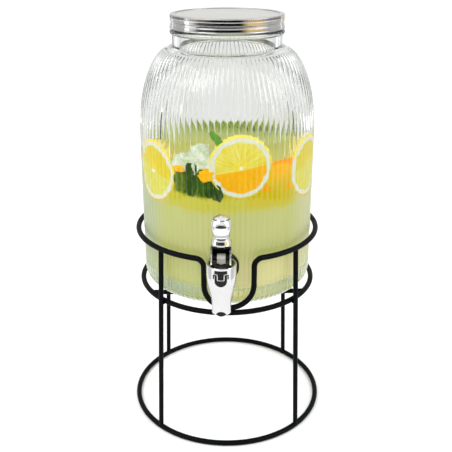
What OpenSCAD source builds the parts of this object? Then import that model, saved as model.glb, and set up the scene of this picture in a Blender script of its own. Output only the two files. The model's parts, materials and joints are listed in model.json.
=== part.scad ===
// Countertop beverage dispenser.
// A glass jar with a two-piece screw lid and a self-closing lever tap stands on
// a welded stand of round steel wire. Z is up, the origin is on the table under
// the jar's axis, and the tap faces -Y. All sizes are in millimetres.

/* [Stand] */
// Diameter of the wire in the three rings
ring_wire_d = 5.5; // [5.2:0.1:5.8]
// Diameter of the wire in the legs and the support bars
leg_wire_d = 5; // [4.6:0.1:5]
// Centreline radius of the foot ring, on the table
foot_ring_r = 102.8; // [100:0.1:106]
// Centreline radius of the guard ring, round the jar
guard_ring_r = 93.8; // [93.6:0.1:94.4]
// Height of the shelf ring's centreline above the table
shelf_z = 151.4; // [140:0.2:160]
// Height of the guard ring above the shelf ring
guard_rise = 58; // [56:0.5:62]
// Half of the width of the guard ring's dip, between wire centrelines
dip_half_w = 24.2; // [23.8:0.1:25]
// Radius of the bends at the top of the dip
dip_bend_r = 8; // [6:0.5:9]
// Distance of each support bar from the stand's centre
bar_offset = 46; // [40:1:50]
// How far the stand is turned about its axis from the tap's direction
stand_turn = 3.5; // [3:0.1:4]

/* [Jar] */
// Outer radius of the jar
jar_r = 88; // [87.5:0.1:88.2]
// Thickness of the jar's wall
wall = 4; // [3.6:0.1:4.4]
// Thickness of the jar's floor
floor_t = 18; // [14:1:19]
// Radius of the bottom corner
corner_r = 14; // [12:0.5:15]
// Height at which the shoulder begins, above the jar's underside
shoulder_h = 158; // [150:1:162]
// Height at which the neck begins, above the jar's underside
neck_h = 242; // [240:1:243]
// Outer radius of the neck
neck_r = 53.3; // [53:0.1:54]
// Radius of the mouth
mouth_r = 47.5; // [46:0.5:48]
// Height of the jar
jar_h = 269.85; // [269.85:0.05:271]

/* [Lid] */
// Radius of the screw band's skirt
lid_r = 55; // [54.9:0.1:55.4]
// Thickness of the tinplate
sheet_t = 0.6; // [0.5:0.1:0.6]
// Radius of the window in the top of the screw band
window_r = 50; // [48.5:0.5:51]
// Thickness of the lid's gasket
gasket_t = 1.1; // [1:0.1:1.3]

/* [Tap] */
// Height of the shank's axis above the jar's underside
tap_h = 47.2; // [44:0.1:49]
// Distance of the spout's axis from the jar's wall
tap_reach = 39; // [37:0.5:42]
// Radius of the widest part of the tap's body
body_r = 13.8; // [13.6:0.1:14]
// Outer radius of the spout
spout_r = 8.8; // [8.6:0.1:9.2]
// Radius of the outlet
outlet_r = 6; // [5.5:0.1:6.2]
// Radius of the flange against the jar
flange_r = 12.6; // [12:0.1:13]
// Radius of the shank through the jar
shank_r = 8; // [7.5:0.1:8]
// How far the lever tilts forward, in degrees
lever_tilt = 50; // [30:1:55]
// How far the full tilt lifts the valve
valve_lift = 4; // [3:0.1:4]

/* [Hidden] */
$fn = 96;

// Gaps: between parts at rest, round parts that turn or slide, and where a leg
// is coped round the guard ring.
rest_gap = 0.05;
run_gap = 0.05;
weld_gap = 0.07;

// Stand: wire radii, heights and the line that every leg follows.
ring_wr = ring_wire_d / 2;
leg_wr = leg_wire_d / 2;
foot_z = ring_wr;
guard_z = shelf_z + guard_rise;
leg_slope = (guard_ring_r - foot_ring_r) / (guard_z - foot_z);
leg_r_at_shelf = foot_ring_r + leg_slope * (shelf_z - foot_z);
shelf_ring_r = leg_r_at_shelf - (ring_wr + leg_wr) * sqrt(1 + leg_slope * leg_slope) - 0.02;
// Half of the angle that the guard ring leaves open for its dip.
dip_angle = asin(dip_half_w / norm([guard_ring_r, dip_bend_r])) + atan(dip_bend_r / guard_ring_r);
dip_y = -guard_ring_r * cos(dip_angle) - dip_bend_r * sin(dip_angle);
dip_touch = sqrt(pow(2 * ring_wr, 2) - pow(shelf_ring_r + dip_y, 2));
dip_centre_z = shelf_z + dip_touch + dip_half_w + 0.02;

// Jar: heights in the assembly, and the finish that the lid screws on to.
jar_z = shelf_z + leg_wr + rest_gap;
inner_r = jar_r - wall;
thread_r = 53;
finish_r = 52;
bead_r = 2.4;
bead_h = neck_h + 13.8;
thread_h = jar_h - 8;
inner_corner_r = 10;
base_recess = 3;
base_recess_r = 52;
stand_edge_r = 58;

// Lid: heights above the table.
lip_z = jar_z + jar_h;
gasket_z = lip_z + rest_gap;
disc_z = gasket_z + gasket_t;
disc_r = lid_r - 1.1;
lid_top_z = disc_z + 2 * sheet_t + rest_gap;
curl_r = 0.8;

// Tap: axes and heights.
tap_z = jar_z + tap_h;
tap_y = -jar_r - tap_reach;
washer_t = 3.5;
flange_t = 2.5;
flange_y = -jar_r - washer_t;
rim_z = tap_z + 21.3;
seat_z = tap_z - 7.2;
spout_z = tap_z - 28.2;
taper_low_z = spout_z + 8;
taper_high_z = rim_z - 11.5;
chamber_r = 8.6;
bonnet_r = 11.2;
bonnet_z = rim_z - 10.5;
arm_r = 8.4;
inlet_r = 5;
shank_end_y = -jar_r + 20;
key_half_w = 5.8;
key_centre_z = rim_z - 11.9;
key_depth_y = tap_y - 10.9;
key_top_z = rim_z - 1.7;
key_gap = 0.25;
bridge_half_w = 2.4;
notch_r = 4.8;
nut_y = -inner_r + 4.5;
nut_t = 8;
nut_r = 14;
washer_r = 15.2;

// Valve and lever: the cam under the lever lifts the valve in proportion to
// the tilt, because its support distance grows by cam_k for each radian.
bonnet_top_z = rim_z - 0.1;
cam_k = valve_lift / (lever_tilt * PI / 180);
cam_rest = 5.9;
pin_z = bonnet_top_z + rest_gap + cam_rest;
pin_r = 1.25;
stem_r = 3;
head_half_w = 3.8;
cup_r = 7.4;
cup_h = 5.4;
collar_z = seat_z + cup_h + 0.1;
collar_t = 2;
barb_r = 2.2;
spring_top_z = rim_z - 4;
spring_r = 5;
spring_wire_r = 0.4;
spring_turns = 6;
cheek_out = 9.2;
cheek_in = 7.8;
boss_r = 3;
web_y = 7;
fork_top_z = pin_z + 13;
knob_z = pin_z + 30.6;
knob_r = 9.3;
waist_r = 7.4;

function smooth(t) = t * t * (3 - 2 * t);
function mix(a, b, t) = a + (b - a) * t;
// Points of an arc about a centre, from angle a0 to angle a1 in n steps.
function arc(c, r, a0, a1, n) = [for (i = [0:n]) c + r * [cos(mix(a0, a1, i / n)), sin(mix(a0, a1, i / n))]];
// Quarter of an ellipse from [r0, z0] on the wall up to [r1, z1] at the neck.
function shoulder(r0, z0, r1, z1, n) = [
    for (i = [0:n]) [r1 + (r0 - r1) * cos(90 * i / n), z0 + (z1 - z0) * sin(90 * i / n)]
];
function reverse(v) = [for (i = [len(v) - 1:-1:0]) v[i]];
// A point at radius r, turned by a from the front, and the way along its circle.
function spot(r, a) = [r * sin(a), -r * cos(a), 0];
function along(a) = [cos(a), sin(a), 0];
// One place on a wire's path: its centre, and the two directions across it.
function station(centre, out, dir) = [centre, out, cross(dir, out)];

module cylinder_y(r, y0, y1) {
    translate([0, y0, 0]) rotate([-90, 0, 0]) cylinder(r = r, h = y1 - y0);
}

module cylinder_x(r, x0, x1) {
    translate([x0, 0, 0]) rotate([0, 90, 0]) cylinder(r = r, h = x1 - x0);
}

module torus(ring_r, wire_r) {
    rotate_extrude() translate([ring_r, 0]) circle(r = wire_r, $fn = 32);
}

// A round wire through a list of stations, as a closed loop or with two ends.
module wire(stations, wire_r, sides, closed) {
    n = len(stations);
    spans = closed ? n : n - 1;
    points = [for (s = stations) for (j = [0:sides - 1])
        s[0] + wire_r * (cos(360 * j / sides) * s[1] + sin(360 * j / sides) * s[2])];
    walls = [for (i = [0:spans - 1]) for (j = [0:sides - 1])
        let (k = (j + 1) % sides, a = i * sides, b = ((i + 1) % n) * sides)
        [a + j, a + k, b + k, b + j]];
    ends = [[for (j = [sides - 1:-1:0]) j], [for (j = [0:sides - 1]) (n - 1) * sides + j]];
    polyhedron(points, closed ? walls : concat(walls, ends));
}

module stand_frame() {
    rotate([0, 0, stand_turn]) children();
}

// ---- Stand ----

module foot_ring() {
    color("black") translate([0, 0, foot_z]) torus(foot_ring_r, ring_wr);
}

module shelf_ring() {
    color("black") translate([0, 0, shelf_z]) torus(shelf_ring_r, ring_wr);
}

// A quarter bend from the guard ring's end at angle a, along dir, to straight
// down, as [centre, way along it] at t degrees round the bend.
function bend_centre(a, dir, t) = spot(guard_ring_r, a) + [0, 0, guard_z]
    + dip_bend_r * (sin(t) * dir - [0, 0, 1 - cos(t)]);
function bend_dir(dir, t) = cos(t) * dir - [0, 0, sin(t)];

guard_path = concat(
    [for (i = [0:80]) let (a = mix(dip_angle, 360 - dip_angle, i / 80))
        station(spot(guard_ring_r, a) + [0, 0, guard_z], spot(1, a), along(a))],
    [for (t = [15:15:90])
        station(bend_centre(-dip_angle, along(-dip_angle), t), spot(1, -dip_angle),
            bend_dir(along(-dip_angle), t))],
    [for (t = [180:11.25:360])
        station([dip_half_w * cos(t), dip_y, dip_centre_z + dip_half_w * sin(t)], [0, -1, 0],
            [-sin(t), 0, cos(t)])],
    [for (t = [90:-15:15])
        station(bend_centre(dip_angle, -along(dip_angle), t), spot(1, dip_angle),
            -bend_dir(-along(dip_angle), t))]
);

// The guard ring keeps the jar upright. At the front it dips round the tap, and
// the dip's foot is welded to the shelf ring.
module guard_ring() {
    color("black") stand_frame() wire(guard_path, ring_wr, 16, true);
}

// A leg runs from the foot ring, past the outside of the shelf ring, up to the
// guard ring. Both of its ends are coped to fit the rings.
module leg(a) {
    color("black") stand_frame() difference() {
        rotate([0, 0, a]) translate([0, -foot_ring_r, foot_z])
            rotate([atan(leg_slope), 0, 0])
            cylinder(r = leg_wr, h = (guard_z - foot_z) * sqrt(1 + leg_slope * leg_slope), $fn = 32);
        translate([0, 0, foot_z]) torus(foot_ring_r, ring_wr);
        translate([0, 0, guard_z]) torus(guard_ring_r, ring_wr + weld_gap);
    }
}

module front_left_leg() leg(-45);
module front_right_leg() leg(45);
module rear_left_leg() leg(-135);
module rear_right_leg() leg(135);

module support_bar(y) {
    half = sqrt(shelf_ring_r * shelf_ring_r - y * y);
    color("black") stand_frame() translate([0, 0, shelf_z]) difference() {
        translate([0, y, 0]) cylinder_x(leg_wr, -half, half);
        torus(shelf_ring_r, ring_wr);
    }
}

module front_support_bar() support_bar(-bar_offset);
module rear_support_bar() support_bar(bar_offset);

// ---- Jar ----

jar_outline = concat(
    [[0, base_recess], [base_recess_r, base_recess], [stand_edge_r, 0]],
    arc([jar_r - corner_r, corner_r], corner_r, -90, 0, 8),
    shoulder(jar_r, shoulder_h, neck_r, neck_h, 20),
    arc([neck_r, bead_h], bead_r, -90, 90, 8),
    [[thread_r, thread_h - 1], [thread_r, thread_h + 3], [finish_r, thread_h + 4]],
    [[finish_r, jar_h - 1], [finish_r - 1, jar_h], [mouth_r + 1, jar_h], [mouth_r, jar_h - 1]],
    reverse(shoulder(inner_r, shoulder_h, mouth_r, neck_h - 3, 20)),
    arc([inner_r - inner_corner_r, floor_t + inner_corner_r], inner_corner_r, 0, -90, 6),
    [[0, floor_t]]
);

module jar() {
    color([0.85, 0.93, 0.9, 0.35]) translate([0, 0, jar_z]) difference() {
        rotate_extrude($fn = 128) polygon(jar_outline);
        translate([0, 0, tap_h]) cylinder_y(shank_r + 0.3, -jar_r - 1, -jar_r / 2);
    }
}

// ---- Lid ----

// Height below the top, and distance from the skirt's radius, down the skirt:
// knurled corner, upper bead, groove, lower bead and plain edge.
skirt = [
    [0, -1.1], [0.7, -0.35], [3, -0.35], [3.6, 0], [5.8, 0], [6.4, 0.35], [7, 0],
    [7.8, -0.9], [8.6, 0], [9.2, 0.35], [9.8, 0], [12.2, 0]
];
band_outline = concat(
    [[window_r, lid_top_z - sheet_t], [window_r, lid_top_z]],
    [for (p = skirt) [lid_r + p[1], lid_top_z - p[0]]],
    [for (i = [len(skirt) - 1:-1:2]) [lid_r + skirt[i][1] - sheet_t, lid_top_z - skirt[i][0]]],
    [[lid_r + skirt[1][1] - sheet_t, lid_top_z - sheet_t]]
);

module screw_band() {
    color("silver") union() {
        rotate_extrude($fn = 128) polygon(band_outline);
        translate([0, 0, lid_top_z - skirt[len(skirt) - 1][0] - curl_r / 2])
            torus(lid_r - sheet_t / 2 + 0.2, curl_r);
    }
}

module lid_disc() {
    color("gainsboro") translate([0, 0, disc_z]) cylinder(r = disc_r, h = sheet_t, $fn = 128);
}

module lid_gasket() {
    color("white") translate([0, 0, gasket_z]) difference() {
        cylinder(r = finish_r - 0.2, h = gasket_t, $fn = 128);
        translate([0, 0, -1]) cylinder(r = mouth_r + 0.2, h = gasket_t + 2, $fn = 128);
    }
}

// ---- Tap ----

// Side of the tap's body: a round spout that swells to the valve chamber.
body_outline = concat(
    [[0, spout_z], [spout_r - 0.3, spout_z], [spout_r, spout_z + 0.4]],
    [for (i = [0:12]) [
        mix(spout_r, body_r, smooth(i / 12)),
        mix(taper_low_z, taper_high_z, i / 12)
    ]],
    [[body_r, rim_z - 0.4], [body_r - 0.4, rim_z], [0, rim_z]]
);

// The U-shaped window in the front of the body, or the key that fills it.
module key_shape(half_w, top_z, y0, y1) {
    translate([-half_w, y0, key_centre_z]) cube([2 * half_w, y1 - y0, top_z - key_centre_z]);
    translate([0, 0, key_centre_z]) cylinder_y(half_w, y0, y1);
}

module tap_body() {
    color("silver") difference() {
        union() {
            translate([0, tap_y, 0]) rotate_extrude() polygon(body_outline);
            translate([0, 0, tap_z]) {
                cylinder_y(arm_r, tap_y, flange_y);
                cylinder_y(flange_r, flange_y - flange_t, flange_y);
                cylinder_y(shank_r, flange_y, shank_end_y);
            }
        }
        translate([0, tap_y, seat_z]) cylinder(r = chamber_r, h = rim_z - seat_z + 1);
        translate([0, tap_y, bonnet_z]) cylinder(r = bonnet_r, h = rim_z - bonnet_z + 1);
        translate([0, tap_y, spout_z - 1]) cylinder(r = outlet_r, h = seat_z - spout_z + 2);
        translate([0, 0, tap_z]) cylinder_y(inlet_r, tap_y, shank_end_y + 1);
        key_shape(key_half_w, key_top_z, tap_y - body_r - 1, key_depth_y);
        translate([0, 0, spout_z - 0.5]) cylinder_y(notch_r, tap_y - spout_r - 1, tap_y - outlet_r / 2);
    }
}

module tap_bonnet() {
    plug_r = bonnet_r - run_gap;
    color([0.08, 0.08, 0.09]) difference() {
        union() {
            translate([0, tap_y, bonnet_z + rest_gap])
                cylinder(r = plug_r, h = bonnet_top_z - bonnet_z - rest_gap);
            intersection() {
                key_shape(key_half_w - key_gap, key_top_z - key_gap, tap_y - body_r, key_depth_y - key_gap);
                translate([0, tap_y, 0]) cylinder(r = body_r - 0.3, h = bonnet_top_z);
            }
            translate([-bridge_half_w, tap_y - plug_r, bonnet_z + 1])
                cube([2 * bridge_half_w, 4, key_top_z - key_gap - bonnet_z - 1]);
        }
        translate([0, tap_y, bonnet_z - 1]) cylinder(r = spring_r + 1.6, h = spring_top_z - bonnet_z + 1);
        translate([0, tap_y, 0]) cylinder(r = stem_r + run_gap, h = rim_z + 1);
    }
}

module outer_washer() {
    color([0.1, 0.1, 0.1]) translate([0, 0, tap_z]) difference() {
        cylinder_y(washer_r, flange_y + rest_gap, -jar_r + 3);
        cylinder_y(shank_r + run_gap, flange_y - 1, -jar_r + 4);
        translate([0, 0, -washer_r - 1]) cylinder(r = jar_r + 0.02, h = 2 * washer_r + 2, $fn = 128);
    }
}

module inner_washer() {
    color([0.92, 0.92, 0.9]) translate([0, 0, tap_z]) difference() {
        intersection() {
            cylinder_y(washer_r - 1, -inner_r, nut_y - rest_gap);
            translate([0, 0, -washer_r]) cylinder(r = inner_r - 0.02, h = 2 * washer_r, $fn = 128);
        }
        cylinder_y(shank_r + run_gap, -inner_r - 1, nut_y + 1);
    }
}

module shank_nut() {
    color([0.92, 0.92, 0.9]) translate([0, 0, tap_z]) difference() {
        union() {
            cylinder_y(nut_r, nut_y, nut_y + 2);
            translate([0, nut_y + 2, 0]) rotate([-90, 0, 0]) cylinder(r = nut_r - 1, h = nut_t - 2, $fn = 6);
        }
        cylinder_y(shank_r + run_gap, nut_y - 1, nut_y + nut_t + 1);
    }
}

// ---- Valve ----

module valve_stem() {
    color("lightgray") difference() {
        translate([0, tap_y, 0]) union() {
            translate([0, 0, seat_z + 1.6]) cylinder(r = barb_r, h = collar_z - seat_z);
            translate([0, 0, collar_z]) cylinder(r = cup_r - 0.4, h = collar_t);
            translate([0, 0, collar_z]) cylinder(r = stem_r, h = pin_z - 3 - collar_z);
            translate([0, 0, pin_z]) cylinder_x(stem_r + 0.6, -head_half_w, head_half_w);
            translate([-head_half_w, -stem_r, bonnet_top_z + 0.8])
                cube([2 * head_half_w, 2 * stem_r, pin_z - bonnet_top_z - 0.8]);
        }
        translate([0, tap_y, pin_z]) cylinder_x(pin_r + run_gap, -head_half_w - 1, head_half_w + 1);
    }
}

module valve_cup() {
    color("white") translate([0, tap_y, seat_z + 0.02]) rotate_extrude() polygon([
        [0, 0], [cup_r - 1, 0], [cup_r, 1.2], [cup_r - 0.6, cup_h],
        [barb_r + run_gap, cup_h], [barb_r + run_gap, 1.5], [0, 1.5]
    ]);
}

module valve_spring() {
    low = collar_z + collar_t + spring_wire_r + rest_gap;
    high = spring_top_z - spring_wire_r - rest_gap;
    color("silver") translate([0, tap_y, 0]) wire(
        [for (i = [0:24 * spring_turns])
            station(spot(spring_r, 15 * i) + [0, 0, mix(low, high, i / (24 * spring_turns))],
                spot(1, 15 * i), along(15 * i))],
        spring_wire_r, 8, false
    );
}

// ---- Lever ----

// The cam's outline, as [y, z] from the pin. At a tilt of a degrees it touches
// the bonnet cam_k in front of the pin and cam_rest + cam_k * a (in radians)
// below it.
function cam(a) = let (p = cam_rest + cam_k * a * PI / 180)
    [-p * sin(a) - cam_k * cos(a), -p * cos(a) + cam_k * sin(a)];
cam_points = [for (i = [0:10]) cam(lever_tilt * i / 10)];
toe = cam(lever_tilt);
fork_outline = concat(
    [[5, -cam_rest]],
    cam_points,
    [[toe[0] - 0.3, toe[1] + 1.5], [-8.6, 7], [-8.2, 14], [8.2, 14], [8.8, 6], [8.2, -2]]
);

// Side of the lever's grip: from the fork up to a waist and the round knob.
grip_outline = concat(
    [[0, fork_top_z - 1]],
    [for (i = [0:6]) [mix(cheek_out, waist_r, smooth(i / 6)), mix(fork_top_z - 1, pin_z + 20.5, i / 6)]],
    [for (i = [1:6]) [mix(waist_r, knob_r, smooth(i / 6)), mix(pin_z + 20.5, knob_z, i / 6)]],
    arc([0, knob_z + 0.6], knob_r, 0, 90, 10)
);

module side_plate(outline, x0, x1) {
    translate([x0, tap_y, pin_z]) rotate([90, 0, 90]) linear_extrude(height = x1 - x0) polygon(outline);
}

module lever() {
    color("silver") difference() {
        union() {
            translate([0, tap_y, 0]) rotate_extrude() polygon(grip_outline);
            side_plate(fork_outline, -cheek_out, cheek_out);
        }
        // The space between the cheeks, open at the front and under the web at
        // the back, with a boss left round the pin on each side of the stem.
        difference() {
            translate([-cheek_in, tap_y - 20, bonnet_top_z - 1])
                cube([2 * cheek_in, 20 + web_y, fork_top_z - bonnet_top_z]);
            translate([0, tap_y, pin_z]) cylinder_x(boss_r, -cheek_out, -head_half_w - 0.2);
            translate([0, tap_y, pin_z]) cylinder_x(boss_r, head_half_w + 0.2, cheek_out);
        }
        translate([-cheek_in, tap_y - 1, bonnet_top_z - 1]) cube([2 * cheek_in, 20, web_y]);
        translate([0, tap_y, pin_z]) cylinder_x(pin_r + 0.02, -cheek_out - 1, cheek_out + 1);
    }
}

module lever_pin() {
    color("dimgray") translate([0, tap_y, pin_z]) cylinder_x(pin_r, -cheek_out + 0.2, cheek_out - 0.2);
}

foot_ring();
shelf_ring();
guard_ring();
front_left_leg();
front_right_leg();
rear_left_leg();
rear_right_leg();
front_support_bar();
rear_support_bar();
jar();
lid_disc();
lid_gasket();
screw_band();
tap_body();
tap_bonnet();
outer_washer();
inner_washer();
shank_nut();
valve_stem();
valve_cup();
valve_spring();
lever();
lever_pin();
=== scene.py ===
import json
import math
import random

import bmesh
import bpy
import numpy as np
from mathutils import Matrix, Vector, noise


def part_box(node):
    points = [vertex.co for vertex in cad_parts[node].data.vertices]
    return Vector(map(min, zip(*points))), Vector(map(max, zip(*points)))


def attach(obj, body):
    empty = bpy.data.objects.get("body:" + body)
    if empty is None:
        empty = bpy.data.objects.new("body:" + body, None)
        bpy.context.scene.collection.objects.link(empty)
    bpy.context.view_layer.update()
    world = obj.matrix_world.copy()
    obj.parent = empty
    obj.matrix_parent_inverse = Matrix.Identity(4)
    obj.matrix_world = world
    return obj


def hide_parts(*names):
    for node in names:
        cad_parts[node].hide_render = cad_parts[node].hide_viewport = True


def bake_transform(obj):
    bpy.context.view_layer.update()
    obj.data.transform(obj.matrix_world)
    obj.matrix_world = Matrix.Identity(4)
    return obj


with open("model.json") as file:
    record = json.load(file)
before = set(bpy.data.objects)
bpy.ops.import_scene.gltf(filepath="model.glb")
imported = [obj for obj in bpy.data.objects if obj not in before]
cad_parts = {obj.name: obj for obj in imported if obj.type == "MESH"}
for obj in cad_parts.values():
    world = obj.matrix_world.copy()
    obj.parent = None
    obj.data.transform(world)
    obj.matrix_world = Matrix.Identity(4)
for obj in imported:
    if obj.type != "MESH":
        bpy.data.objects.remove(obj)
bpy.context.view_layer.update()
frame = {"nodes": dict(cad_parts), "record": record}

# ---- Sizes and places, in metres, from the frame ----

MM = 0.001


def middle(node):
    """The middle of a CAD node's box."""
    low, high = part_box(node)
    return (low + high) / 2


JAR_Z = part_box("jar")[0].z
JAR_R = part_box("jar")[1].x
LIP_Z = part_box("jar")[1].z
WALL = 4 * MM
INNER_R = JAR_R - WALL
TAP_Y = middle("lever_pin").y
PIN_Z = middle("lever_pin").z
TAP_Z = middle("shank_nut").z
SPOUT_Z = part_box("tap_body")[0].z
BODY_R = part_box("tap_body")[1].x
RIM_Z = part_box("tap_body")[1].z
LID_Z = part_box("screw_band")[1].z
SHELF_Z = middle("shelf_ring").z

# The drink's level, and how far things inside are let into the glass, so that
# the eye sees them wet against it.
DRINK_Z = 300 * MM
WET = 0.25 * MM


# ---- Materials ----


def tone(red, green, blue, alpha=1.0):
    """A display colour, each part 0 to 255, as the linear colour that materials take."""
    parts = [value / 255 for value in (red, green, blue)]
    return [p / 12.92 if p <= 0.04045 else ((p + 0.055) / 1.055) ** 2.4 for p in parts] + [alpha]


class Shader:
    """A node material, built with short calls."""

    def __init__(self, name):
        self.material = bpy.data.materials.new(name)
        self.material.use_nodes = True
        self.tree = self.material.node_tree
        self.tree.nodes.clear()
        self.output = self.tree.nodes.new("ShaderNodeOutputMaterial")

    def put(self, socket, value):
        if isinstance(value, bpy.types.Node):
            value = value.outputs[0]
        if isinstance(value, bpy.types.NodeSocket):
            self.tree.links.new(value, socket)
        else:
            socket.default_value = value

    def node(self, kind, inputs=(), **settings):
        made = self.tree.nodes.new("ShaderNode" + kind)
        for name, value in settings.items():
            setattr(made, name, value)
        for socket, value in dict(inputs).items():
            self.put(made.inputs[socket], value)
        return made

    def math(self, operation, a, b=0.0, clamp=False):
        return self.node("Math", {0: a, 1: b}, operation=operation, use_clamp=clamp)

    def span(self, value, low, high, to_low=0.0, to_high=1.0):
        """value eased from low..high to to_low..to_high."""
        inputs = {"Value": value, "From Min": low, "From Max": high, "To Min": to_low, "To Max": to_high}
        return self.node("MapRange", inputs, interpolation_type="SMOOTHSTEP")

    def mix(self, factor, a, b, blend="MIX"):
        made = self.node("Mix", data_type="RGBA", blend_type=blend)
        self.put(made.inputs[0], factor)
        self.put(made.inputs[6], a)
        self.put(made.inputs[7], b)
        return made.outputs[2]

    def place(self, scale=(1, 1, 1)):
        """The object's own coordinates, scaled."""
        coordinates = self.node("TexCoord")
        return self.node("Mapping", {"Vector": coordinates.outputs["Object"], "Scale": scale})

    def noise(self, scale, detail=3.0, roughness=0.5, stretch=(1, 1, 1)):
        inputs = {"Vector": self.place(stretch), "Scale": scale, "Detail": detail, "Roughness": roughness}
        return self.node("TexNoise", inputs).outputs["Fac"]

    def bump(self, height, strength, distance):
        return self.node("Bump", {"Height": height, "Strength": strength, "Distance": distance})

    def surface(self, **inputs):
        """A Principled BSDF on the output. Input names are given with _ for a space."""
        made = self.node("BsdfPrincipled", {name.replace("_", " "): value for name, value in inputs.items()})
        self.put(self.output.inputs["Surface"], made)
        return made


def powder_coat():
    """Black satin coat on the wire: fine orange peel, and a little dust in clouds."""
    s = Shader("wire_black")
    grain = s.noise(1400, 4)
    cloud = s.noise(60, 3)
    base = s.mix(s.span(cloud, 0.35, 0.75), (0.0012, 0.0016, 0.0022, 1), (0.003, 0.0034, 0.0042, 1))
    rough = s.span(cloud, 0.3, 0.7, 0.34, 0.48)
    s.surface(Base_Color=base, Roughness=rough, Specular_IOR_Level=0.05, Normal=s.bump(grain, 0.35, 0.0004))
    return s.material


def clear_glass():
    """Moulded glass, faintly wavy, and green where it is thick. Shadow and diffuse rays pass
    straight through it, so that what is inside is lit as if the glass were not there."""
    s = Shader("jar_glass")
    waves = s.noise(38, 2, 0.4, (1, 1, 0.5))
    glass = s.node("BsdfGlass", {"Color": (0.99, 0.993, 0.991, 1), "Roughness": 0.0, "IOR": 1.5,
                                 "Normal": s.bump(waves, 0.12, 0.004)})
    clear = s.node("BsdfTransparent", {"Color": (0.96, 0.97, 0.965, 1)})
    path = s.node("LightPath")
    passing = s.math("MAXIMUM", path.outputs["Is Shadow Ray"], path.outputs["Is Diffuse Ray"])
    s.put(s.output.inputs["Surface"], s.node("MixShader", {0: passing, 1: glass, 2: clear}))
    tint = s.node("VolumeAbsorption", {"Color": (0.8, 0.9, 0.87, 1), "Density": 5.0})
    s.put(s.output.inputs["Volume"], tint)
    return s.material


def tinplate(name="tinplate", brush=(1, 1, 1), rough=0.2, shade=1.0):
    """Bright rolled tinplate with faint scuffs."""
    s = Shader(name)
    lines = s.noise(240, 4, 0.6, brush)
    scuff = s.noise(90, 5, 0.65)
    dull = [c * shade for c in (0.66, 0.66, 0.655)] + [1]
    bright = [c * shade for c in (0.76, 0.76, 0.75)] + [1]
    base = s.mix(scuff, dull, bright)
    roughness = s.span(scuff, 0.3, 0.8, rough, rough * 1.5)
    s.surface(Base_Color=base, Metallic=1.0, Roughness=roughness, Normal=s.bump(lines, 0.05, 0.0001))
    return s.material


def satin_disc():
    """The disc's tinplate: finely grained, so that it stays an even pale grey."""
    s = Shader("tinplate_disc")
    grain = s.noise(900, 4, 0.6)
    cloud = s.noise(40, 3)
    base = s.mix(cloud, tone(206, 206, 202), tone(216, 216, 211))
    s.surface(Base_Color=base, Metallic=0.9, Roughness=s.span(grain, 0.3, 0.7, 0.34, 0.46),
              Normal=s.bump(grain, 0.12, 0.0003))
    return s.material


def chrome(name="chrome_plastic", shade=0.6, painted_lines=()):
    """Chrome plating over moulded plastic: a mirror with slow waves, and fine dark lines painted
     round it at given heights and half widths: painted shade and painted reflections."""
    s = Shader(name)
    waves = s.noise(70, 2, 0.4)
    smear = s.noise(160, 4, 0.6)
    base = s.mix(smear, (shade, shade, shade, 1), (shade * 1.08, shade * 1.08, shade * 1.09, 1))
    height = s.node("SeparateXYZ", {"Vector": s.place()}).outputs["Z"]
    for z, half in painted_lines:
        # Each line darkens the chrome towards near black: painted shade and painted reflection.
        off = s.math("ABSOLUTE", s.math("SUBTRACT", height, z))
        base = s.mix(s.span(off, half * 0.6, half * 1.4, 0.85, 0.0), base, (0.03, 0.03, 0.035, 1))
    s.surface(Base_Color=base, Metallic=1.0, Roughness=s.span(smear, 0.35, 0.8, 0.08, 0.16),
              Normal=s.bump(waves, 0.1, 0.002))
    return s.material


def moulded(name, colour, rough):
    """Moulded plastic or rubber with a fine spark-eroded grain."""
    s = Shader(name)
    grain = s.noise(2600, 3)
    cloud = s.noise(120, 3)
    base = s.mix(cloud, [c * 0.85 for c in colour] + [1], list(colour) + [1])
    s.surface(Base_Color=base, Roughness=s.span(cloud, 0.3, 0.7, rough, rough + 0.1),
              Specular_IOR_Level=0.15 if max(colour) < 0.1 else 0.5, Normal=s.bump(grain, 0.15, 0.0003))
    return s.material


def drink_material():
    """Cloudy lemonade: pale yellow-green, deeper by the fruit, greyer at the sides with painted
     reflection. It gives out light of its own colour, so that its shaded places stay pale: painted light."""
    s = Shader("drink")
    glow = s.node("Attribute", attribute_name="glow").outputs["Color"]
    haze = s.noise(45, 4, 0.55, (1, 1, 0.35))
    base = s.mix(haze, tone(172, 176, 104), tone(182, 184, 112))
    base = s.mix(s.node("Attribute", attribute_name="glow").outputs["Alpha"], base, glow)
    # Part of the colour is reflected and part given out as light: painted light that keeps the shade pale.
    lit = s.mix(1.0, base, (0.65, 0.65, 0.65, 1), "MULTIPLY")
    s.surface(Base_Color=lit, Emission_Color=base, Emission_Strength=0.4,
              Roughness=0.12, Specular_IOR_Level=0.05,
              Subsurface_Weight=0.25, Subsurface_Radius=(1, 1, 0.5), Subsurface_Scale=0.004)
    return s.material


def fruit_flesh(name, rough, depth):
    """Fruit, leaf and rind: the colour is painted on the mesh, the grain is noise."""
    s = Shader(name)
    paint = s.node("Attribute", attribute_name="paint").outputs["Color"]
    fine = s.noise(1500, 4, 0.6)
    blotch = s.noise(260, 3)
    base = s.mix(s.span(blotch, 0.3, 0.8, 0.0, 0.22), paint, (1, 1, 1, 1), "MULTIPLY")
    base = s.mix(s.span(fine, 0.35, 0.8, 0.2, 0.36), base, (0, 0, 0, 1))
    s.surface(Base_Color=base, Roughness=s.span(fine, 0.3, 0.7, rough, rough + 0.2), Specular_IOR_Level=0.1,
              Subsurface_Weight=0.15, Subsurface_Radius=(1, 0.8, 0.3), Subsurface_Scale=depth,
              Normal=s.bump(fine, 0.4, 0.0006))
    return s.material


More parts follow.
